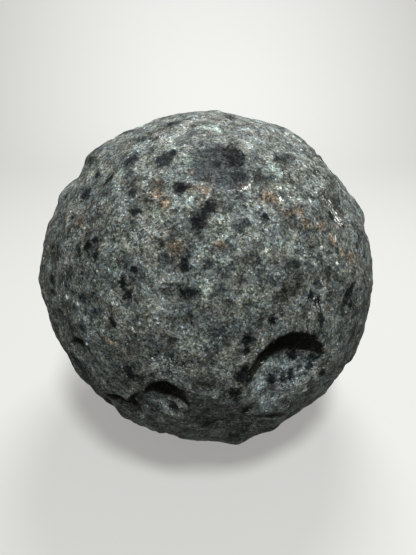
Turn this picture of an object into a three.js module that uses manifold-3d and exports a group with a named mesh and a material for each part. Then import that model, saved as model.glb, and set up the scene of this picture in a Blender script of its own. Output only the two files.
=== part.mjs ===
// Sodalite syenite sphere: a ball of dark grey stone, carved all over like a small moon.
// It is one solid piece, in millimetres with +Z up. It rests on a small ground flat, and the middle of
// that flat is the origin. Places on the ball are given in degrees: longitude 0 is the front (-Y) and
// grows towards +X, and latitude 90 is the top.
import * as THREE from "three";
import { mergeVertices } from "three/addons/utils/BufferGeometryUtils.js";
import Module from "manifold-3d";

// Driving dimensions
const BALL_RADIUS = 42.5;
const FLAT_RADIUS = 8; // of the ground flat that the ball rests on
const CALM_FROM = 10; // no relief within this distance of the middle of the flat
const CALM_TO = 20; // full relief from this distance on
const BASE_DETAIL = 14; // triangles along an icosahedron edge, less one: about 3 mm each
const HOLLOW_MARGIN = 2; // smaller triangles reach this far outside a hollow's rim
const RIM_BAND = [-1.4, 0.9]; // the smallest triangles lie between these distances from a rim
const RIM_SNAP = 0.45; // corners this near to a rim are moved onto it

// Hollows with one steep wall. The deepest point is moved by skew (a share of the half size) towards the
// steep wall, and turn is that wall's bearing from north, clockwise.
const HOLLOWS = [
  // Front, the deep ones first
  { lon: 21.8, lat: -3.1, halfWide: 8.8, halfTall: 10.5, depth: 4.3, turn: -6, skew: 0.7 },
  { lon: -11.6, lat: -8.9, halfWide: 4.7, halfTall: 5.6, depth: 3.8, turn: 4, skew: 0.7 },
  { lon: -46.5, lat: -13.4, halfWide: 6.8, halfTall: 6.4, depth: 3, turn: 30, skew: 0.5 },
  { lon: 7, lat: 57, halfWide: 6, halfTall: 6, depth: 1.1, turn: 180, skew: 0.3 },
  { lon: -48, lat: 3.5, halfWide: 4.8, halfTall: 3.5, depth: 1.6, turn: 25, skew: 0.65 },
  { lon: -38.5, lat: -0.3, halfWide: 3.6, halfTall: 3, depth: 1.3, turn: -5, skew: 0.75 },
  { lon: -17, lat: -15.2, halfWide: 5, halfTall: 5.8, depth: 1.8, turn: -42, skew: 0.75 },
  { lon: -27, lat: -17.2, halfWide: 4.8, halfTall: 3.8, depth: 2.2, turn: 0, skew: 0.75 },
  { lon: 12, lat: -23.4, halfWide: 9, halfTall: 5, depth: 2.4, turn: -8, skew: 0.7 },
  // Sides and back
  { lon: 92, lat: -24, halfWide: 5.2, halfTall: 5, depth: 2, turn: -15, skew: 0.45 },
  { lon: 131, lat: -9, halfWide: 8, halfTall: 7.6, depth: 3.6, turn: 10, skew: 0.5 },
  { lon: 166, lat: 27, halfWide: 4.6, halfTall: 4.8, depth: 1.8, turn: 0, skew: 0.4 },
  { lon: 179, lat: -31, halfWide: 5.4, halfTall: 5, depth: 2.1, turn: 8, skew: 0.5 },
  { lon: -146, lat: 8, halfWide: 4.4, halfTall: 4.8, depth: 1.9, turn: -10, skew: 0.45 },
  { lon: -118, lat: -17, halfWide: 7, halfTall: 7.4, depth: 3, turn: 5, skew: 0.5 },
];

// Wide shallow dishes: longitude, latitude, radius, depth.
const DISHES = [
  // Front, from the top down
  [20, 73, 5, 0.6],
  [30, 51, 5.5, 0.4],
  [43, 47, 5, 0.5],
  [-56, 46, 10, 0.9],
  [-20, 42, 6, 0.3],
  [51, 38, 5.2, 0.8],
  [33, 33, 5, 0.3],
  [5, 30, 7, 0.3],
  [-60, 28, 4.5, 0.5],
  [-16, 22, 5.5, 0.3],
  [22, 20, 6, 0.3],
  [-32, 13, 5, 0.7],
  [44, 10, 6, 0.6],
  [65, 2, 4.5, 1.1],
  [74, 22, 5.5, 0.9],
  [-12, 4, 6, 0.4],
  [-52, 1, 5.5, 0.8],
  [-64, -2, 6, 0.5],
  [-57, -13, 9, 1.3],
  [50, -19, 5, 0.4],
  [4, -25, 12.5, 1.1],
  [-44, -24, 9.5, 2.6],
  [36, -30, 6.5, 0.4],
  [-28, -33, 6, 0.4],
  [-15, -39, 5, 0.7],
  // Sides and back
  [-140, 85, 5, 0.4],
  [110, 79, 5.5, 0.5],
  [-60, 79, 4.5, 0.5],
  [-97, 69, 4.5, 0.6],
  [60, 60, 5, 0.5],
  [88, 53, 5, 0.3],
  [150, 58, 8, 1.2],
  [-160, 52, 6.5, 1],
  [84, 44, 8, 2],
  [118, 38, 6, 1.3],
  [-118, 33, 8.5, 1.4],
  [-175, 5, 7, 1.1],
  [95, 10, 8, 1.2],
  [-92, 2, 6, 1],
  [150, -33, 6, 1],
  [-88, -32, 8, 1.6],
  [-150, -36, 7, 1.2],
  [72, -38, 7, 1.2],
];

// Low swells: longitude, latitude, radius, height.
const SWELLS = [
  // Front, from the top down
  [95, 65, 7, 0.4],
  [-91, 60, 5, 0.2],
  [-86, 51, 8, 1],
  [-80.5, 36.5, 5, 1.2],
  [78, 31.5, 5, 0.5],
  [-75, 24, 4, 0.5],
  [-71, 14, 9, 0.8],
  [-68, 6, 5, 0.5],
  [55, -13, 4, 0.35],
  [16, -16.5, 4.5, 0.4],
  [8, -18.5, 4.5, 0.5],
  [24, -35, 4.5, 0.4],
  [-21, -36, 4, 0.5],
  [13, -40, 7.5, 1.5],
  // Sides and back
  [-120, 55, 6, 0.6],
  [140, 20, 9, 0.9],
  [-130, 10, 6, 0.5],
  [100, -12, 6, 0.6],
  [-155, -14, 8, 0.9],
];

// Small scoops cover the whole ball, one beside the other on a golden-angle spiral.
const SCOOP_COUNT = 190;
const SCOOP_RADIUS = [3.2, 7.2];
const SCOOP_DEPTH = [0.15, 0.68];
const SCOOP_STRAY = [0.45, 0.12]; // radians of longitude and latitude

// Soft waves: length, height, how many, and the seed of their directions.
const LUMPS = makeWaves(15, 0.14, 14, 20);
const RIPPLES = makeWaves(7, 0.1, 20, 30);
const WANDER = [40, 43, 46].map((seed) => makeWaves(11, 0.7, 8, seed));

// A number from 0 to 1 that looks random and is always the same for the same two whole numbers.
function chance(index, seed) {
  const value = Math.sin(index * 12.9898 + seed * 78.233) * 43758.5453;
  return value - Math.floor(value);
}

function between([low, high], share) {
  return low + (high - low) * share;
}

// The unit vector for a place given in radians.
function fromAngles(lon, lat) {
  return new THREE.Vector3(Math.cos(lat) * Math.sin(lon), -Math.cos(lat) * Math.cos(lon), Math.sin(lat));
}

function fromDegrees(lon, lat) {
  return fromAngles(THREE.MathUtils.degToRad(lon), THREE.MathUtils.degToRad(lat));
}

function makeWaves(length, height, count, seed) {
  return Array.from({ length: count }, (_, index) => {
    const z = 2 * chance(index, seed) - 1;
    const around = 2 * Math.PI * chance(index, seed + 1);
    const flat = Math.sqrt(1 - z * z);
    return {
      vector: new THREE.Vector3(flat * Math.cos(around), flat * Math.sin(around), z)
        .multiplyScalar((2 * Math.PI * BALL_RADIUS) / length),
      phase: 2 * Math.PI * chance(index, seed + 2),
      height: height / Math.sqrt(count),
    };
  });
}

function sumOfWaves(waves, direction) {
  const heights = waves.map((wave) => wave.height * Math.sin(direction.dot(wave.vector) + wave.phase));
  return heights.reduce((total, height) => total + height, 0);
}

// The distance over the ball between two directions.
function arcBetween(one, other) {
  return BALL_RADIUS * one.angleTo(other);
}

// A rounded bowl, 1 in the middle and 0 at its edge. A higher power makes the edge softer.
function bowl(distance, radius, power) {
  return Math.max(0, 1 - (distance / radius) ** 2) ** power;
}

function makeScoops() {
  const goldenAngle = Math.PI * (3 - Math.sqrt(5));
  return Array.from({ length: SCOOP_COUNT }, (_, index) => {
    const height = 1 - (2 * (index + 0.5)) / SCOOP_COUNT;
    const lon = index * goldenAngle + SCOOP_STRAY[0] * (chance(index, 1) - 0.5);
    const lat = Math.asin(height) + SCOOP_STRAY[1] * (chance(index, 2) - 0.5);
    return {
      centre: fromAngles(lon, lat),
      radius: between(SCOOP_RADIUS, chance(index, 3)),
      depth: between(SCOOP_DEPTH, chance(index, 4)),
    };
  });
}

const scoops = makeScoops();
const dishes = DISHES.map(([lon, lat, radius, depth]) => ({ centre: fromDegrees(lon, lat), radius, depth }));
const swells = SWELLS.map(([lon, lat, radius, depth]) => ({ centre: fromDegrees(lon, lat), radius, depth }));
const hollows = HOLLOWS.map((hollow) => {
  const out = fromDegrees(hollow.lon, hollow.lat);
  const east = fromDegrees(hollow.lon + 90, 0);
  const turn = THREE.MathUtils.degToRad(hollow.turn);
  const steepSide = new THREE.Vector2(Math.sin(turn), Math.cos(turn));
  return { ...hollow, out, east, north: out.clone().cross(east), steepSide };
});

// Where a direction lies in a hollow's own plane: (0, 0) is its middle and its rim has length 1.
function placeInHollow(hollow, direction) {
  const angle = direction.angleTo(hollow.out);
  const scale = (BALL_RADIUS * angle) / Math.max(Math.sin(angle), 1e-9);
  const east = (direction.dot(hollow.east) * scale) / hollow.halfWide;
  const north = (direction.dot(hollow.north) * scale) / hollow.halfTall;
  return new THREE.Vector2(east, north);
}

// How deep a hollow is at a direction. From the deepest point the floor climbs a steep wall on one side
// and a long apron on the other.
function hollowDepth(hollow, direction) {
  if (arcBetween(direction, hollow.out) > Math.max(hollow.halfWide, hollow.halfTall)) return 0;
  const place = placeInHollow(hollow, direction);
  if (place.length() >= 1) return 0;
  const fromDeepest = place.addScaledVector(hollow.steepSide, -hollow.skew);
  const away = Math.max(fromDeepest.length(), 1e-9);
  const along = fromDeepest.dot(hollow.steepSide) / away;
  const back = hollow.skew * along;
  const toRim = Math.sqrt(back * back + 1 - hollow.skew ** 2) - back;
  const share = Math.min(away / toRim, 1);
  const wall = 1 - share ** 4;
  const apron = (1 - share) ** 1.35;
  return hollow.depth * THREE.MathUtils.lerp(apron, wall, 0.5 + 0.5 * along);
}

// Shifts a direction a little, so that no rim is a true circle.
function wander(direction) {
  const shift = WANDER.map((waves) => sumOfWaves(waves, direction) / BALL_RADIUS);
  return direction.clone().add(new THREE.Vector3(...shift)).normalize();
}

// The ball's radius in a direction, with all its relief.
function radiusAt(direction) {
  const strayed = wander(direction);
  const dips = (list, power) =>
    list.map(({ centre, radius, depth }) => depth * bowl(arcBetween(strayed, centre), radius, power));
  const sum = (values) => values.reduce((total, value) => total + value, 0);
  const relief =
    Math.cbrt(sum(dips(scoops, 1.5).map((depth) => depth ** 3))) +
    sum(dips(dishes, 1.4)) -
    sum(dips(swells, 2)) +
    sumOfWaves(LUMPS, strayed) +
    sumOfWaves(RIPPLES, strayed) +
    sum(hollows.map((hollow) => hollowDepth(hollow, direction)));
  const fromFoot = arcBetween(direction, new THREE.Vector3(0, 0, -1));
  return BALL_RADIUS - relief * THREE.MathUtils.smoothstep(fromFoot, CALM_FROM, CALM_TO);
}

// How far a direction is outside a hollow's rim. It is negative inside the hollow.
function outsideRim(hollow, direction) {
  if (direction.dot(hollow.out) < 0) return Infinity;
  return (placeInHollow(hollow, direction).length() - 1) * Math.min(hollow.halfWide, hollow.halfTall);
}

// Moves a direction that is near a hollow's rim onto the rim, which keeps the rim crisp.
function snapToRim(direction) {
  const hollow = hollows.find((one) => Math.abs(outsideRim(one, direction)) < RIM_SNAP);
  if (!hollow) return;
  const angle = direction.angleTo(hollow.out) / placeInHollow(hollow, direction).length();
  const sideways = direction.clone().projectOnPlane(hollow.out).normalize();
  direction.copy(hollow.out).multiplyScalar(Math.cos(angle)).addScaledVector(sideways, Math.sin(angle));
}

// Splits each edge whose middle is wanted, and the triangles beside it, so that the mesh stays closed.
function splitEdges(points, triangles, wanted) {
  const count = points.length;
  const middles = new Map();
  const middleOf = (a, b) => {
    const key = Math.min(a, b) * count + Math.max(a, b);
    if (!middles.has(key)) {
      const middle = points[a].clone().add(points[b]).normalize();
      middles.set(key, wanted(middle) ? points.push(middle) - 1 : -1);
    }
    return middles.get(key);
  };
  return triangles.flatMap(([a, b, c]) => {
    const ab = middleOf(a, b);
    const bc = middleOf(b, c);
    const ca = middleOf(c, a);
    const ring = [a, ab, b, bc, c, ca].filter((point) => point >= 0);
    if (ring.length === 3) return [ring];
    if (ring.length === 6) return [[a, ab, ca], [ab, b, bc], [bc, c, ca], [ab, bc, ca]];
    while (ring[0] < count) ring.push(ring.shift());
    return ring.slice(2).map((point, index) => [ring[0], ring[index + 1], point]);
  });
}

// A ball of even triangles, with smaller ones in the hollows and the smallest at their rims.
function carvedBall() {
  const icosahedron = new THREE.IcosahedronGeometry(1, BASE_DETAIL);
  icosahedron.deleteAttribute("normal");
  icosahedron.deleteAttribute("uv");
  const merged = mergeVertices(icosahedron, 1e-4);
  const { position } = merged.attributes;
  const points = Array.from({ length: position.count }, (_, index) =>
    new THREE.Vector3().fromBufferAttribute(position, index).normalize());
  const corners = Array.from(merged.index.array);
  let triangles = corners.flatMap((corner, index) => (index % 3 ? [] : [corners.slice(index, index + 3)]));
  const nearHollow = (direction, [from, to]) =>
    hollows.some((hollow) => {
      const distance = outsideRim(hollow, direction);
      return distance > from && distance < to;
    });
  triangles = splitEdges(points, triangles, (middle) => nearHollow(middle, [-Infinity, HOLLOW_MARGIN]));
  triangles = splitEdges(points, triangles, (middle) => nearHollow(middle, RIM_BAND));
  points.forEach(snapToRim);
  return {
    vertices: points.flatMap((point) => point.clone().multiplyScalar(radiusAt(point)).toArray()),
    triangles: triangles.flat(),
  };
}

const wasm = await Module();
wasm.setup();

function toSolid(vertices, triangles) {
  const mesh = new wasm.Mesh({
    numProp: 3,
    vertProperties: new Float32Array(vertices),
    triVerts: new Uint32Array(triangles),
  });
  return new wasm.Manifold(mesh);
}

function toGeometry(solid) {
  const mesh = solid.getMesh();
  const geometry = new THREE.BufferGeometry();
  geometry.setAttribute("position", new THREE.BufferAttribute(mesh.vertProperties, 3));
  geometry.setIndex(new THREE.BufferAttribute(mesh.triVerts, 1));
  geometry.computeVertexNormals();
  return geometry;
}

// The height of the ball's middle over the ground flat.
const MIDDLE_HEIGHT = Math.sqrt(BALL_RADIUS ** 2 - FLAT_RADIUS ** 2);

// The block that the ground flat takes off the bottom of the ball.
function groundAway() {
  const side = 4 * FLAT_RADIUS;
  const block = new THREE.BoxGeometry(side, side, side);
  block.deleteAttribute("normal");
  block.deleteAttribute("uv");
  block.translate(0, 0, -MIDDLE_HEIGHT - side / 2);
  const merged = mergeVertices(block);
  return toSolid(merged.attributes.position.array, merged.index.array);
}

const ball = carvedBall();
const stone = toSolid(ball.vertices, ball.triangles).subtract(groundAway());

const sphere = new THREE.Mesh(
  toGeometry(stone),
  new THREE.MeshStandardMaterial({ color: 0x565a58, roughness: 0.82, metalness: 0 }),
);
sphere.name = "sphere";
sphere.position.z = MIDDLE_HEIGHT;

const part = new THREE.Group();
part.add(sphere);

export default part;
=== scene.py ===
import math
from collections import namedtuple

import bpy
import numpy as np
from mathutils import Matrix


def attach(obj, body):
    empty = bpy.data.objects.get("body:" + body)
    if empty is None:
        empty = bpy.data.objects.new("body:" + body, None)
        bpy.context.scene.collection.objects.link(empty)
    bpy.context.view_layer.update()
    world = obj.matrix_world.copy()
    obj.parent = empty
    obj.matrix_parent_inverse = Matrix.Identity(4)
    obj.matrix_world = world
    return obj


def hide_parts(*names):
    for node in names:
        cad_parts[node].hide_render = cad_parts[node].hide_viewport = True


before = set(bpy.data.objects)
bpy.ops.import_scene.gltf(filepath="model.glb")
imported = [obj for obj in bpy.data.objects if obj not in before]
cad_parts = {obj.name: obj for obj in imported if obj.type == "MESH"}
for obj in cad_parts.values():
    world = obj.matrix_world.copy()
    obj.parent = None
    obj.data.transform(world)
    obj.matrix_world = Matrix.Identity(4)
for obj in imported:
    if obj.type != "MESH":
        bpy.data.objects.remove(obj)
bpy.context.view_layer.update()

# The shape of the ball
# One piece of dark grey sodalite syenite. It was turned round, carved all over with shallow dishes and
# with a few deep hollows that have one steep wall, and ground flat where it rests.
MM = 0.001
ball_radius = 42.5 * MM
flat_radius = 8.0 * MM                    # of the ground flat, which lies on the level z = 0
middle_height = math.sqrt(ball_radius**2 - flat_radius**2)
calm_from, calm_to = 10 * MM, 20 * MM     # from the foot: no relief up to here, and all of it from there
mesh_steps = 98                           # triangles along one edge of the icosahedron
rim_snap = 0.2 * MM                       # corners this near to a hollow's rim are moved onto it

# Places are longitude (0 is the front, growing to the right) and latitude, in degrees. Sizes are in mm.
# A hollow has one steep wall. Turn is its bearing from north, skew is how far the deepest point is moved
# towards it, as a share of the half size, and dark is how far from its rim the floor is painted dark as
# shadow.
Hollow = namedtuple("Hollow", "lon lat half_wide half_tall depth turn skew dark")
hollows = [Hollow(*numbers) for numbers in (
    (21.8, -3.1, 8.8, 10.5, 4.3, -6, 0.7, 6.5),
    (-11.6, -8.9, 4.7, 5.6, 3.8, 4, 0.7, 6.2),
    (-46.5, -13.4, 6.8, 6.4, 3.0, 30, 0.5, 6.2),
    (7, 57, 6.0, 6.0, 1.1, 180, 0.3, 0),
    (-48, 3.5, 4.8, 3.5, 1.6, 25, 0.65, 2.6),
    (-38.5, -0.3, 3.6, 3, 1.3, -5, 0.75, 2.2),
    (-17, -15.2, 5, 5.8, 1.8, -42, 0.75, 1.9),
    (-27, -17.2, 4.8, 3.8, 2.2, 0, 0.75, 4.2),
    (12, -23.4, 9, 5, 2.4, -8, 0.7, 5.2),
    (92, -24, 5.2, 5, 2, -15, 0.45, 3.2),
    (131, -9, 8, 7.6, 3.6, 10, 0.5, 4.6),
    (166, 27, 4.6, 4.8, 1.8, 0, 0.4, 2.8),
    (179, -31, 5.4, 5, 2.1, 8, 0.5, 3.2),
    (-146, 8, 4.4, 4.8, 1.9, -10, 0.45, 2.8),
    (-118, -17, 7, 7.4, 3, 5, 0.5, 4.2),
)]
top_dish = hollows[3]
wall_power, apron_power = 4, 1.35         # a wall drops at once, and an apron rises almost evenly
undercut = 0.2                            # how far a floor lies under its steep rim, as a share of depth

# Shallow dishes: longitude, latitude, radius and depth.
dishes = [
    (20, 73, 5, 0.6), (30, 51, 5.5, 0.4), (43, 47, 5, 0.5), (-56, 46, 10, 0.9), (-20, 42, 6, 0.3),
    (51, 38, 5.2, 0.8), (33, 33, 5, 0.3), (5, 30, 7, 0.3), (-60, 28, 4.5, 0.5), (-16, 22, 5.5, 0.3),
    (22, 20, 6, 0.3), (-32, 13, 5, 0.7), (44, 10, 6, 0.6), (65, 2, 4.5, 1.1), (74, 22, 5.5, 0.9),
    (-12, 4, 6, 0.4), (-52, 1, 5.5, 0.8), (-64, -2, 6, 0.5), (-57, -13, 9, 1.3), (50, -19, 5, 0.4),
    (4, -25, 12.5, 1.1), (-44, -24, 9.5, 2.6), (36, -30, 6.5, 0.4), (-28, -33, 6, 0.4),
    (-15, -39, 5, 0.7), (-140, 85, 5, 0.4), (110, 79, 5.5, 0.5), (-60, 79, 4.5, 0.5), (-97, 69, 4.5, 0.6),
    (60, 60, 5, 0.5), (88, 53, 5, 0.3), (150, 58, 8, 1.2), (-160, 52, 6.5, 1), (84, 44, 8, 2),
    (118, 38, 6, 1.3), (-118, 33, 8.5, 1.4), (-175, 5, 7, 1.1), (95, 10, 8, 1.2), (-92, 2, 6, 1),
    (150, -33, 6, 1), (-88, -32, 8, 1.6), (-150, -36, 7, 1.2), (72, -38, 7, 1.2),
]
# Low swells: longitude, latitude, radius and height.
swells = [
    (8, -18.5, 4.5, 0.5), (16, -16.5, 4.5, 0.4), (95, 65, 7, 0.4), (-91, 60, 5, 0.2), (-86, 51, 8, 1),
    (-80.5, 36.5, 5, 1.2), (78, 31.5, 5, 0.5), (-71, 14, 9, 0.8), (-75, 24, 4, 0.5), (55, -13, 4, 0.35),
    (100, -12, 6, 0.6), (-120, 55, 6, 0.6), (-130, 10, 6, 0.5), (-68, 6, 5, 0.5), (-21, -36, 4, 0.5),
    (24, -35, 4.5, 0.4), (13, -40, 7.5, 1.5), (140, 20, 9, 0.9), (-155, -14, 8, 0.9),
]
scoop_count = 190                         # small scoops, side by side all over
scoop_radius, scoop_depth = (3.2, 7.2), (0.15, 0.68)
scoop_stray = (0.45, 0.12)                # radians of longitude and latitude
scoop_edge, dish_edge, swell_edge = 1.5, 1.4, 2
lumps = (15 * MM, 0.14 * MM, 14, 20)      # waves: length, height, count and seed
ripples = (7 * MM, 0.1 * MM, 20, 30)
stray = (11 * MM, 0.7 * MM, 8)            # what bends the dishes' rims: waves' length, height and count


def chance(index, seed):
    """A number from 0 to 1 that looks random and is always the same for the same numbers."""
    value = np.sin(index * 12.9898 + seed * 78.233) * 43758.5453
    return value - np.floor(value)


def place(lon, lat):
    """The unit vector of a place given in degrees."""
    lon, lat = math.radians(lon), math.radians(lat)
    return np.array([math.cos(lat) * math.sin(lon), -math.cos(lat) * math.cos(lon), math.sin(lat)])


def arc(directions, centre):
    """The distance over the ball from each direction to one place."""
    return ball_radius * np.arccos(np.clip(directions @ centre, -1, 1))


def bowl(distance, radius, power):
    """1 in the middle and 0 at the edge. A higher power makes the edge softer."""
    return np.clip(1 - (distance / radius) ** 2, 0, 1) ** power


def waves(directions, length, height, count, seed):
    """Soft random waves of one length, as the sum of plane waves in all directions."""
    total = np.zeros(len(directions))
    for index in range(count):
        z = 2 * chance(index, seed) - 1
        around = 2 * math.pi * chance(index, seed + 1)
        flat = math.sqrt(1 - z * z)
        travel = np.array([flat * math.cos(around), flat * math.sin(around), z])
        turns = ball_radius / length * (directions @ travel) + chance(index, seed + 2)
        total += np.sin(2 * math.pi * turns)
    return height / math.sqrt(count) * total


def unit(vectors):
    """The same directions with a length of 1."""
    return vectors / np.linalg.norm(vectors, axis=1)[:, None]


def wander(directions):
    """Shifts each direction a little, so that no dish is a true circle."""
    shift = [waves(directions, *stray, seed) for seed in (40, 43, 46)]
    return unit(directions + np.stack(shift, 1) / ball_radius)


def in_hollow(directions, hollow):
    """Each direction's place in a hollow's own plane, where the rim is the unit circle."""
    out = place(hollow.lon, hollow.lat)
    east = place(hollow.lon + 90, 0)
    north = np.cross(out, east)
    facing = np.clip(directions @ out, -1, 1)
    stretch = ball_radius * np.arccos(facing) / np.sqrt(np.maximum(1 - facing**2, 1e-14))
    return np.stack([directions @ east * stretch / (hollow.half_wide * MM),
                     directions @ north * stretch / (hollow.half_tall * MM)], 1), facing > 0


def dug(directions, hollow):
    """How deep a hollow is, with a steep wall on one side and a long apron on the other."""
    where, facing = in_hollow(directions, hollow)
    turn = math.radians(hollow.turn)
    steep_side = np.array([math.sin(turn), math.cos(turn)])
    from_deepest = where - hollow.skew * steep_side
    away = np.maximum(np.linalg.norm(from_deepest, axis=1), 1e-9)
    along = from_deepest @ steep_side / away
    back = hollow.skew * along
    share = np.minimum(away / (np.sqrt(back**2 + 1 - hollow.skew**2) - back), 1)
    wall = 1 - share**wall_power
    apron = (1 - share) ** apron_power
    steep = 0.5 + 0.5 * along
    inside = facing & (np.linalg.norm(where, axis=1) < 1)
    return np.where(inside, hollow.depth * MM * (steep * wall + (1 - steep) * apron), 0)


def snap_to_rims(directions):
    """Moves the corners beside each hollow's rim onto the rim, which keeps it crisp."""
    for hollow in hollows:
        where, facing = in_hollow(directions, hollow)
        share = np.linalg.norm(where, axis=1)
        near = facing & (np.abs(share - 1) * min(hollow.half_wide, hollow.half_tall) * MM < rim_snap)
        out = place(hollow.lon, hollow.lat)
        angle = np.arccos(directions[near] @ out) / share[near]
        sideways = unit(directions[near] - (directions[near] @ out)[:, None] * out)
        directions[near] = np.cos(angle)[:, None] * out + np.sin(angle)[:, None] * sideways
    return directions


def carved_relief(directions):
    """How far the carving goes below the turned ball."""
    strayed = wander(directions)
    cubes = np.zeros(len(directions))
    golden_angle = math.pi * (3 - math.sqrt(5))
    for index in range(scoop_count):
        lon = index * golden_angle + scoop_stray[0] * (chance(index, 1) - 0.5)
        lat = math.asin(1 - (2 * index + 1) / scoop_count) + scoop_stray[1] * (chance(index, 2) - 0.5)
        radius = np.interp(chance(index, 3), (0, 1), scoop_radius) * MM
        depth = np.interp(chance(index, 4), (0, 1), scoop_depth) * MM
        centre = place(math.degrees(lon), math.degrees(lat))
        cubes += (depth * bowl(arc(strayed, centre), radius, scoop_edge)) ** 3
    relief = np.cbrt(cubes)
    for lon, lat, radius, depth in dishes:
        relief += depth * MM * bowl(arc(strayed, place(lon, lat)), radius * MM, dish_edge)
    for lon, lat, radius, height in swells:
        relief -= height * MM * bowl(arc(strayed, place(lon, lat)), radius * MM, swell_edge)
    relief += waves(strayed, *lumps) + waves(strayed, *ripples)
    for hollow in hollows:
        relief += dug(directions, hollow)
    return relief


def even_ball(steps):
    """The corners and triangles of an icosahedron whose faces are divided evenly."""
    golden = (1 + math.sqrt(5)) / 2
    tips = unit(np.array([(-1, golden, 0), (1, golden, 0), (-1, -golden, 0), (1, -golden, 0),
                          (0, -1, golden), (0, 1, golden), (0, -1, -golden), (0, 1, -golden),
                          (golden, 0, -1), (golden, 0, 1), (-golden, 0, -1), (-golden, 0, 1)]))
    faces = [(a, b, c) for a in range(12) for b in range(a + 1, 12) for c in range(b + 1, 12)
             if max(tips[a] @ -tips[b], tips[b] @ -tips[c], tips[c] @ -tips[a]) < 0]
    grid = [(i, j) for i in range(steps + 1) for j in range(steps + 1 - i)]
    number = {cell: index for index, cell in enumerate(grid)}
    shares = np.array([(steps - i - j, i, j) for i, j in grid]) / steps
    small = [(number[i, j], number[i + 1, j], number[i, j + 1]) for i, j in grid if i + j < steps]
    small += [(number[i + 1, j], number[i + 1, j + 1], number[i, j + 1])
              for i, j in grid if i + j < steps - 1]
    small = np.array(small)
    points, triangles = [], []
    for face in faces:
        corners = tips[list(face)]
        outward = np.cross(corners[1] - corners[0], corners[2] - corners[0]) @ corners[0] > 0
        points.append(unit(shares @ corners))
        triangles.append((small if outward else small[:, ::-1]) + len(grid) * len(triangles))
    points, same = np.unique(np.round(np.concatenate(points), 7), axis=0, return_inverse=True)
    return unit(points), same.reshape(-1)[np.concatenate(triangles)]


directions, triangles = even_ball(mesh_steps)
directions = snap_to_rims(directions)
from_foot = np.clip((arc(directions, np.array([0, 0, -1])) - calm_from) / (calm_to - calm_from), 0, 1)
calm = from_foot**2 * (3 - 2 * from_foot)
relief = carved_relief(directions)

# The fine surface of the ball
# The tool left small knobs between the scoops, and weak grains have fallen out as pits. The mesh of the
# ball follows, with the floors of the deep hollows moved under their steep rims.
knob_waves = [(3.4 * MM, 0.08 * MM, 40, 60), (1.9 * MM, 0.05 * MM, 60, 70)]
pit_count = 520
pit_radius, pit_depth, pit_edge = (0.5, 1.2), (0.06, 0.26), 1.2
for knobs in knob_waves:
    relief += waves(directions, *knobs)
for index in range(pit_count):
    centre = place(360 * chance(index, 81), math.degrees(math.asin(2 * chance(index, 82) - 1)))
    radius = np.interp(chance(index, 83), (0, 1), pit_radius) * MM
    depth = np.interp(chance(index, 84) ** 2, (0, 1), pit_depth) * MM
    relief += depth * bowl(arc(directions, centre), radius, pit_edge)

corners = directions * (ball_radius - relief * calm)[:, None]
for hollow in hollows:
    turn = math.radians(hollow.turn)
    north, east = place(hollow.lon, hollow.lat + 90), place(hollow.lon + 90, 0)
    under_rim = math.sin(turn) * east + math.cos(turn) * north
    corners += undercut * dug(directions, hollow)[:, None] * under_rim
corners[:, 2] = np.maximum(corners[:, 2], -middle_height) + middle_height
ball_mesh = bpy.data.meshes.new("sphere_stone")
ball_mesh.from_pydata(corners.tolist(), [], triangles.tolist())
ball_mesh.shade_smooth()
ball = bpy.data.objects.new("sphere_stone", ball_mesh)
bpy.context.scene.collection.objects.link(ball)

# The minerals of the ball
# Black clots of dark minerals, two of which are painted shadow in a recess, rust from weathered iron,
# pale green feldspar, white feldspar specks that are partly painted glints, and glittering grains, each
# where the stone shows it on the front, and strewn in the same way over the sides and back.
front_middle, front_edge = place(0, 27), 0.37       # the edge is the cosine of the angle from the middle


def field(spots):
    """1 in the middle of the nearest spot, 0 at its edge and less beyond, but never under -1.

    Spots are longitude, latitude, half width and half height in mm, and lean in degrees.
    """
    height = np.full(len(directions), -1.0)
    for lon, lat, half_wide, half_tall, lean in spots:
        out, east = place(lon, lat), place(lon + 90, 0)
        near = np.nonzero(directions @ out > math.cos(3 * max(half_wide, half_tall) * MM / ball_radius))[0]
        across = directions[near] @ east * ball_radius / MM
        up = directions[near] @ np.cross(out, east) * ball_radius / MM
        turn = math.radians(lean)
        u = (across * math.cos(turn) + up * math.sin(turn)) / half_wide
        v = (up * math.cos(turn) - across * math.sin(turn)) / half_tall
        height[near] = np.maximum(height[near], 1 - np.hypot(u, v))
    return height


def strewn(count, seed, size, front_too=False):
    """Seeded spots of half a size in mm, off the front unless front_too is true."""
    spots = []
    for index in range(count):
        lon = 360 * chance(index, seed) - 180
        lat = math.degrees(math.asin(2 * chance(index, seed + 1) - 1))
        on_front = place(lon, lat) @ front_middle > front_edge
        half = np.interp(chance(index, seed + 2) ** 1.5, (0, 1), size)
        if front_too or not on_front:
            spots.append((lon, lat, half, half * (0.7 + 0.6 * chance(index, seed + 3)),
                          180 * chance(index, seed + 4)))
    return spots


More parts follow.
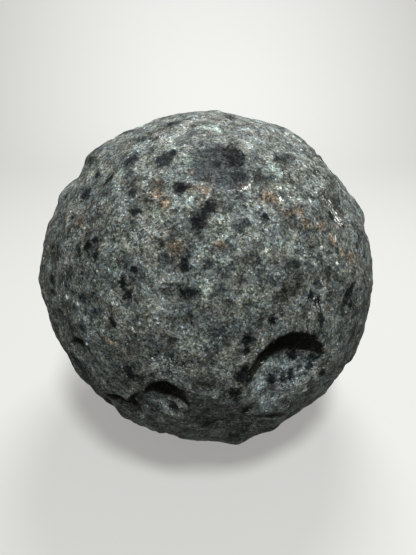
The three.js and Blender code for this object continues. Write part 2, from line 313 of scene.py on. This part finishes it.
black_clots_and_shade = [
    (-22.5, 58.3, 1.7, 2.1, -10), (-20, 61, 1.0, 1.2, 0), (-11, 50.1, 1.7, 1.1, 0),
    (-41.3, 56.7, 1.5, 2.1, -25), (-47.7, 49.3, 1.2, 1.6, -20), (-57.3, 42.8, 2.0, 1.8, 0),
    (-58.9, 48.8, 0.9, 0.9, 0), (0.6, 44.3, 1.6, 1.4, 0), (-1.6, 42.4, 1.3, 1.1, 0),
    (-3.2, 40.4, 1.7, 1.5, 30), (19.3, 41.3, 0.85, 0.85, 0), (14.1, 60.6, 2.0, 2.9, 0),
    (-42.3, 75.1, 1.3, 1.6, 0), (42.6, 80.6, 1.3, 1.6, 0), (-20.7, 27.6, 0.9, 0.9, 0),
    (-23.7, 23.5, 1, 1, 0), (-21.7, 21.1, 1.1, 1.1, 0), (-6.4, 29.9, 1.1, 1.2, 0),
    (-5.3, 23.4, 1.8, 0.8, 0), (-25.6, 13.3, 0.8, 1.2, 0), (17, 15.6, 0.8, 0.9, 0),
    (29.2, 19.6, 1.0, 1.0, 0), (31.4, 17.6, 1.2, 1.1, 0), (31.6, 12.1, 0.9, 2.0, 0),
    (9.8, 11.2, 1.1, 1.1, 0), (9.8, 8.2, 0.7, 0.9, 0), (8.9, 0.9, 1.5, 2.0, 0), (6.8, -4.2, 1.1, 1.5, 0),
    (-20.7, -0.7, 1.4, 2.0, 0), (18.3, -4.6, 1.2, 1.4, 0), (22.1, -5.9, 1.3, 1.0, 0),
    (24.5, -5.0, 1.0, 1.2, 0), (25.3, 1.0, 1.2, 1.5, 0), (31.0, -0.5, 1.1, 1.3, 0),
    (30.0, -3.0, 0.9, 1.2, 0), (34.0, -6.0, 0.9, 1.2, 0), (10.7, -13.2, 0.8, 1, 0),
    (-9.8, -12.5, 1, 1.2, 0), (-56.6, 14.7, 1.5, 1.2, 0), (44.7, 15.1, 1.1, 3.0, -35),
    (45.4, 11.3, 0.8, 1.1, 0), (60.2, 27.1, 1.2, 1.2, 0), (47.6, 37.5, 0.9, 1.1, 0),
    (12.5, 44.4, 0.5, 0.5, 0), (-57.6, 24.2, 1, 1, 0), (-39.3, 30.3, 1.1, 1.3, 0),
    (-34.8, 28.6, 1, 1.1, 0), (-37, 32.5, 0.7, 0.8, 0), (-25.6, 42, 0.9, 1.0, 0),
    # These two are painted shadow: dark put in the recess on the lower left outline, in place of a deep
    # shadow.
    (-51.4, -15, 2.2, 3.6, 0), (-47.5, -17.5, 1.6, 1.4, 0),
]
faint_spots = [
    (-32.8, 49, 1.1, 1.7, -20), (-36, 51, 0.8, 0.9, 0), (-30, 47, 0.8, 0.9, 0), (29, 69.5, 1.4, 1.4, 0),
    (41.1, 57.9, 2.2, 1.4, 0), (-12.5, 31.4, 1.2, 1.2, 0), (-6, 32.5, 1.2, 1.1, 0), (0.1, 30, 1, 1, 0),
    (2.7, 24.4, 1.2, 1.1, 0), (-50.4, 64.6, 1.2, 1.3, 0), (31.5, 34.8, 1.2, 1.2, 0),
    (10.1, 39.6, 1.6, 1.1, 0), (-37.2, 16.5, 1.1, 1.1, 0), (-32.8, 13.4, 1.1, 1.3, 0),
    (5.5, 56.5, 5.6, 6.2, 0),
]
rust_spots = [
    (-19.9, 48.1, 1.4, 1.0, 0), (-16.1, 45.6, 1.2, 0.9, 0), (-20.4, 50.8, 1.0, 0.9, 0),
    (-5.9, 49.7, 1.2, 0.9, 0), (-0.9, 49.5, 1.0, 1.0, 0), (24.2, 46.9, 2.0, 1.5, 0),
    (13.1, 50.3, 1.1, 0.8, 0), (-6.7, 54.9, 0.9, 0.9, 0), (31.7, 40.9, 1.1, 1.0, 0),
    (27.5, 41, 0.9, 0.9, 0), (-48.6, 34.6, 1.3, 1.2, 0), (-9.4, 34.5, 1.4, 1.3, 0),
    (33.6, 37.6, 1.1, 1.0, 0), (39.2, 35.5, 1.2, 1.0, 0), (41.8, 31.1, 1.1, 1.4, 0),
    (44.6, 27.6, 1.1, 1.5, 0), (-26.5, 7.7, 1.2, 1.0, 0), (48.7, 24.1, 1.3, 1.4, 0),
    (3.6, 35, 1.1, 1.0, 0),
]
pale_spots = [
    (31.9, 53, 1.7, 3.4, 0), (2.9, 38.4, 1.9, 2.2, 0), (-1.9, 24.2, 1.7, 1.5, 0),
    (-26.5, 32.7, 1.8, 1.6, 0), (-24.2, 36.4, 1.6, 1.5, 0), (-42.6, 52.1, 1.6, 1.8, 0),
    (-24.1, 63.4, 1.6, 1.8, 0), (-10.9, 58.1, 1.6, 1.8, 0), (-17.7, 42.8, 1.5, 1.4, 0),
    (-5, 45.3, 1.2, 1.2, 0), (17.2, 4, 2.0, 2.6, 0), (16.3, 31.6, 1.6, 1.5, 0), (10.8, 20.8, 1.6, 1.5, 0),
    (23.9, 33.6, 1.5, 1.4, 0), (-40, 19.2, 1.6, 1.6, 0), (-30.9, 11, 1.7, 1.6, 0),
    (-27.6, 27.5, 1.5, 1.5, 0), (-1.3, 34, 1.3, 1.3, 0), (7.7, 74.3, 2.6, 2.2, 0),
    (12.3, 22.9, 1.3, 1.2, 0), (-3.8, 11.6, 1.9, 1.5, 0),
]
white_specks = [
    (40.5, 43, 0.35, 0.4, 0), (31.8, 45.5, 0.3, 0.3, 0), (36.3, 30.7, 0.3, 0.35, 0),
    (41, 25, 0.3, 0.35, 0), (30.1, 18.2, 0.35, 0.35, 0), (17.6, 33.1, 0.3, 0.3, 0),
    (-44.6, 14.3, 0.4, 0.4, 0), (-25.7, 18.2, 0.4, 0.4, 0), (44.1, 31.1, 0.4, 0.5, 0),
    (-19.6, 12.5, 0.22, 0.7, 30), (14.8, 49.8, 0.8, 0.22, 30), (52.3, 40.8, 0.25, 0.4, 0),
    (51.9, 38.6, 0.3, 0.5, 10), (51.8, 36, 0.3, 0.55, 0), (51.6, 33.9, 0.3, 0.5, 0),
    (50, 38, 0.3, 0.3, 0), (53.4, 37.2, 0.3, 0.4, 0), (50.2, 35.3, 0.3, 0.35, 0), (53.2, 35, 0.3, 0.4, 0),
    (50.5, 40, 0.25, 0.3, 0), (17, 50.9, 0.3, 0.3, 0), (27.8, 45.6, 0.3, 0.7, 10),
]
sparkling_spots = [
    (52, 37.5, 2.2, 4, 15), (49, 42, 2, 2, 0), (15.8, 50.3, 2, 0.9, 25), (10.5, 49, 3, 0.9, 0),
    (26, 48.5, 2, 0.8, -40), (-9, 4, 7, 3.5, 0), (-50, 25, 5, 5, 0), (-38, -22, 8, 5, 0),
    (24, -9, 6, 4, 0), (-8, -16, 5, 4, 0), (-22, 36, 4, 4, 0), (31, 16, 2.5, 2, 0), (-43, 41, 3, 3, 0),
    (-30, 66, 5, 3, 0),
]


def in_painted_shadow(directions, hollow):
    """1 on the floor below the steep rim, as far as it gets painted shadow, and 0 beyond."""
    where, facing = in_hollow(directions, hollow)
    turn = math.radians(hollow.turn)
    up = where @ np.array([math.sin(turn), math.cos(turn)])
    rim = np.sqrt(np.maximum(1 - np.sum(where**2, axis=1) + up**2, 1e-6))
    below_rim = (1 - up / rim) * hollow.half_tall
    inside = facing & (np.linalg.norm(where, axis=1) < 1)
    return inside * np.interp(below_rim, (hollow.dark - 0.5, hollow.dark + 0.2), (1, 0))


bright_floor_from = 2.5                        # mm: floors of hollows deeper than this are brightened, partly as the tool's frosting and partly as painted light
dusky = np.interp(dug(directions, top_dish), (0.05 * MM, 0.25 * MM), (0, 1))
frosted_and_lit, painted_shadow = np.zeros(len(directions)), np.zeros(len(directions))
for hollow in hollows:
    # Painted shadow: the floor just below each steep rim is darkened as far as dark reaches.
    dark = in_painted_shadow(directions, hollow) * (hollow.dark > 0)
    painted_shadow = np.maximum(painted_shadow, dark)
    # Their floors are brightened, partly as the tool's frosting and partly as painted light, but not where
    # they carry painted shadow.
    if hollow.depth > bright_floor_from:
        share = dug(directions, hollow) / (hollow.depth * MM)
        frosted_and_lit = np.maximum(frosted_and_lit, np.interp(share, (0, 0.12), (0, 1)) * (1 - dark))
minerals = {
    "black_clots_and_shade": black_clots_and_shade + strewn(150, 100, (0.6, 2.0)),
    "faint_spots": faint_spots + strewn(60, 110, (0.9, 2.4)),
    "rust_spots": rust_spots + strewn(70, 120, (0.7, 1.9)),
    "pale_spots": pale_spots + strewn(80, 130, (1.2, 2.6)),
    "white_specks": white_specks + strewn(150, 140, (0.15, 0.3), front_too=True),
    "sparkling_spots": sparkling_spots + strewn(90, 150, (1.5, 5.0)),
}
fields = {name: field(spots) for name, spots in minerals.items()}
for name, values in {**fields, "frosted_and_lit": frosted_and_lit, "painted_shadow": painted_shadow, "dusky": dusky}.items():
    attribute = ball_mesh.attributes.new(name, "FLOAT", "POINT")
    attribute.data.foreach_set("value", values.astype(np.float32))

# The finish of the ball
# Fine frosted grain from the carving tool, under a millimetre across, clouded by darker and paler
# patches of a few millimetres, over which the minerals lie.
stone = bpy.data.materials.new("sodalite syenite")
stone.use_nodes = True
stone.node_tree.nodes.clear()


def add(kind, inputs, **settings):
    """Adds a shader node to the stone. An input that is a socket is linked, and any other is set."""
    node = stone.node_tree.nodes.new("ShaderNode" + kind)
    for name, value in settings.items():
        setattr(node, name, value)
    for name, value in inputs.items():
        if isinstance(value, bpy.types.NodeSocket):
            stone.node_tree.links.new(value, node.inputs[name])
        else:
            node.inputs[name].default_value = value
    return node


where = add("TexCoord", {}).outputs["Object"]


def clouds(size, detail, seed):
    """Soft noise round a half, with features of about this size in mm."""
    shifted = add("VectorMath", {0: where, 1: (seed, seed, seed)}, operation="ADD").outputs[0]
    return add("TexNoise", {"Vector": shifted, "Scale": 1 / (size * MM), "Detail": detail,
                            "Roughness": 0.62}).outputs["Fac"]


def grains(size):
    """Three random numbers for each grain of this size in mm."""
    colour = add("TexVoronoi", {"Vector": where, "Scale": 1 / (size * MM)}).outputs["Color"]
    return add("SeparateColor", {"Color": colour}).outputs


def spread(value, low, high, to_low=0.0, to_high=1.0):
    """Moves the range low to high softly onto another range, and holds what is beyond at its ends."""
    return add("MapRange", {"Value": value, "From Min": low, "From Max": high, "To Min": to_low,
                            "To Max": to_high}, interpolation_type="SMOOTHSTEP").outputs["Result"]


def sum_of(one, other, weight=1.0):
    """One value plus another times a weight."""
    return add("Math", {0: other, 1: weight, 2: one}, operation="MULTIPLY_ADD").outputs[0]


def times(one, other):
    """One value times another."""
    return add("Math", {0: one, 1: other}, operation="MULTIPLY").outputs[0]


def grey(value):
    """A value as a colour."""
    return add("CombineColor", {0: value, 1: value, 2: value}).outputs[0]


def tint(below, colour, amount):
    """Multiplies a colour by another, so that the grain still shows."""
    return add("Mix", {0: amount, 6: below, 7: colour}, data_type="RGBA", blend_type="MULTIPLY",
               clamp_result=False).outputs[2]


def lay(below, above, amount):
    """Lays one colour over another."""
    return add("Mix", {0: amount, 6: below, 7: above}, data_type="RGBA").outputs[2]


def amount_of(name):
    """What the mesh's corners say of one mineral or one kind of floor."""
    return add("Attribute", {}, attribute_name=name).outputs["Fac"]


def spots_of(name, ragged, edge):
    """How much of a mineral shows: its field with a ragged edge."""
    return spread(sum_of(amount_of(name), ragged), 0.04 - edge, 0.04 + edge)


small_grains = grains(0.27)
large_grains = grains(0.5)
fine_clouds = clouds(0.9, 2.0, 0.1)
cool_stone, warm_stone = (0.0562, 0.0632, 0.0606, 1), (0.0603, 0.0627, 0.0565, 1)
cool_grain, warm_grain = (0.94, 1.0, 1.1, 1), (1.06, 1.0, 0.92, 1)
dark_patch, pale_patch = (0.35, 0.363, 0.353, 1), (1.49, 1.555, 1.555, 1)
colour = lay(cool_stone, warm_stone, spread(clouds(4.5, 3.0, 0.4), 0.42, 0.58))
colour = tint(colour, lay(cool_grain, warm_grain, large_grains["Blue"]), 1.0)

grain = sum_of(times(small_grains["Red"], 0.62), large_grains["Red"], 0.38)
glint = spread(grain, 0.84, 0.97, 0.0, 1.6)
grain = sum_of(spread(grain, 0.05, 0.95, 0.3, 1.6), glint)
shade = times(spread(clouds(2.4, 4.0, 0.2), 0.3, 0.7, 0.45, 1.55), spread(fine_clouds, 0.3, 0.7, 0.8, 1.2))
shade = times(shade, spread(clouds(7.0, 3.0, 0.3), 0.35, 0.65, 0.76, 1.24))
colour = tint(colour, grey(times(grain, shade)), 1.0)
colour = tint(colour, dark_patch, spread(clouds(3.0, 3.0, 0.5), 0.57, 0.69))
colour = tint(colour, pale_patch, spread(clouds(3.4, 3.0, 0.6), 0.57, 0.72))

ragged = sum_of(sum_of(-0.95, fine_clouds, 1.3), large_grains["Green"], 0.6)
mottled = spread(small_grains["Green"], 0.5, 1, 1.0, 0.8)
for name, stain, edge, strength in (
        ("pale_spots", (1.42, 1.5, 1.45, 1), 0.8, 1.0),
        ("rust_spots", (1.6, 1.08, 0.78, 1), 0.5, 0.6),
        ("faint_spots", (0.42, 0.44, 0.47, 1), 0.3, 1.0),
        # black clots, and painted shadow in the lower left recess
        ("black_clots_and_shade", (0.08, 0.093, 0.108, 1), 0.3, mottled)):
    colour = tint(colour, stain, times(spots_of(name, ragged, edge), strength))
for name, stain in (
        # brighter floors of deep hollows: partly the tool's frosting, partly painted light
        ("frosted_and_lit", (1.4, 1.44, 1.49, 1)),
        # painted shadow on the floor under each steep rim
        ("painted_shadow", (0.14, 0.14, 0.11, 1)),
        ("dusky", (0.74, 0.755, 0.775, 1))):
    colour = tint(colour, stain, amount_of(name))
glitter, white_grains_and_glints = (0.24, 0.245, 0.25, 1), (0.37, 0.38, 0.365, 1)
single_grains = sum_of(-3.5, small_grains["Green"], 3.3)
colour = lay(colour, glitter, times(spots_of("sparkling_spots", single_grains, 0.3), 0.7))
# White specks: partly white feldspar grains, partly painted glints.
broken_grains = sum_of(-0.6, small_grains["Green"], 1.2)
colour = lay(colour, white_grains_and_glints, times(spots_of("white_specks", broken_grains, 0.2), 0.8))

grain_height = sum_of(times(small_grains["Blue"], 0.5), fine_clouds, 0.9)
rough_surface = add("Bump", {"Height": grain_height, "Strength": 0.8, "Distance": 0.25 * MM}).outputs[0]
roughness = spread(small_grains["Green"], 0, 1, 0.5, 0.9)
surface = add("BsdfPrincipled", {"Base Color": colour, "Roughness": roughness, "Normal": rough_surface,
                                 "Specular IOR Level": 0.06})
add("OutputMaterial", {"Surface": surface.outputs[0]})
ball_mesh.materials.append(stone)

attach(ball, "root")
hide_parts("sphere")

# The floor
# A plain pale sheet of paper that lies flat under the ball and curves up behind it, and glows faintly, so
# that it looks evenly lit from every side. It isn't part of the object.
sweep_half_width = 2.5
sweep_front, sweep_back = -2.5, 0.3
sweep_bend = 0.25
sweep_top = 1.2
bend_steps = 16
profile = [(sweep_front, 0.0)]
for step in range(bend_steps + 1):
    angle = math.pi / 2 * step / bend_steps
    profile.append((sweep_back + sweep_bend * math.sin(angle), sweep_bend * (1 - math.cos(angle))))
profile.append((sweep_back + sweep_bend, sweep_top))
floor_mesh = bpy.data.meshes.new("floor")
floor_corners = [(side * sweep_half_width, y, z) for y, z in profile for side in (-1, 1)]
floor_faces = [(2 * i, 2 * i + 1, 2 * i + 3, 2 * i + 2) for i in range(len(profile) - 1)]
floor_mesh.from_pydata(floor_corners, [], floor_faces)
floor_mesh.shade_smooth()
floor = bpy.data.objects.new("floor", floor_mesh)
bpy.context.scene.collection.objects.link(floor)
paper = bpy.data.materials.new("pale paper")
paper.use_nodes = True
paper_surface = paper.node_tree.nodes["Principled BSDF"]
paper_surface.inputs["Base Color"].default_value = (0.131, 0.1315, 0.129, 1)
paper_surface.inputs["Emission Color"].default_value = (1.0, 0.99, 0.965, 1)
paper_surface.inputs["Emission Strength"].default_value = 0.3
paper_surface.inputs["Roughness"].default_value = 0.9
paper_surface.inputs["Specular IOR Level"].default_value = 0.2
floor_mesh.materials.append(paper)

# The light
# A small round light overhead in front, a larger one overhead behind, one that lights only the sheet
# behind the ball, and an even, pale room.


def hang(lamp, where_from, aim):
    """Hangs a lamp at one point, so that it shines at another."""
    holder = bpy.data.objects.new(lamp.name, lamp)
    holder.location = where_from
    away = np.array(where_from) - np.array(aim)
    holder.rotation_euler = (math.atan2(math.hypot(away[0], away[1]), away[2]), 0,
                             math.atan2(away[1], away[0]) + math.pi / 2)
    bpy.context.scene.collection.objects.link(holder)


for name, width, watts, lamp_colour, where_from in (
        ("overhead", 0.08, 3.9, (0.985, 1.0, 0.99), (0.035, -0.19, 0.45)),
        ("behind", 0.2, 3.4, (1.0, 1.0, 1.0), (0.05, 0.2, 0.42))):
    lamp = bpy.data.lights.new(name, "AREA")
    lamp.shape = "DISK"
    lamp.size = width
    lamp.energy = watts
    lamp.color = lamp_colour
    hang(lamp, where_from, (0, 0, middle_height))
backdrop = bpy.data.lights.new("backdrop", "SPOT")
backdrop.spot_size = math.radians(85)
backdrop.spot_blend = 1.0
backdrop.shadow_soft_size = 0.1
backdrop.energy = 26.0
hang(backdrop, (0, 0.12, 0.55), (0, 0.6, 0.16))
room = bpy.data.worlds.new("room")
bpy.context.scene.world = room
room.use_nodes = True
room.node_tree.nodes["Background"].inputs["Color"].default_value = (1.0, 1.0, 0.98, 1)
room.node_tree.nodes["Background"].inputs["Strength"].default_value = 0.35

# The camera
# It looks down on the ball from close by, as a hand-held phone does.
camera_tilt = 27.7                        # degrees below level
camera_rise = 27.5                        # degrees over level, seen from the ball's middle
camera_from_middle = 116.3 * MM
photo_width, photo_height, focal_pixels = 416, 555, 420
camera_data = bpy.data.cameras.new("camera")
camera_data.sensor_width = 36
camera_data.lens = focal_pixels / max(photo_width, photo_height) * camera_data.sensor_width
camera_data.clip_start = 0.005
camera = bpy.data.objects.new("camera", camera_data)
rise = math.radians(camera_rise)
camera.location = (0, -camera_from_middle * math.cos(rise),
                   middle_height + camera_from_middle * math.sin(rise))
camera.rotation_euler = (math.radians(90 - camera_tilt), 0, 0)
bpy.context.scene.collection.objects.link(camera)
bpy.context.scene.camera = camera
bpy.context.scene.view_settings.view_transform = "Standard"
bpy.context.scene.view_settings.look = "Medium High Contrast"
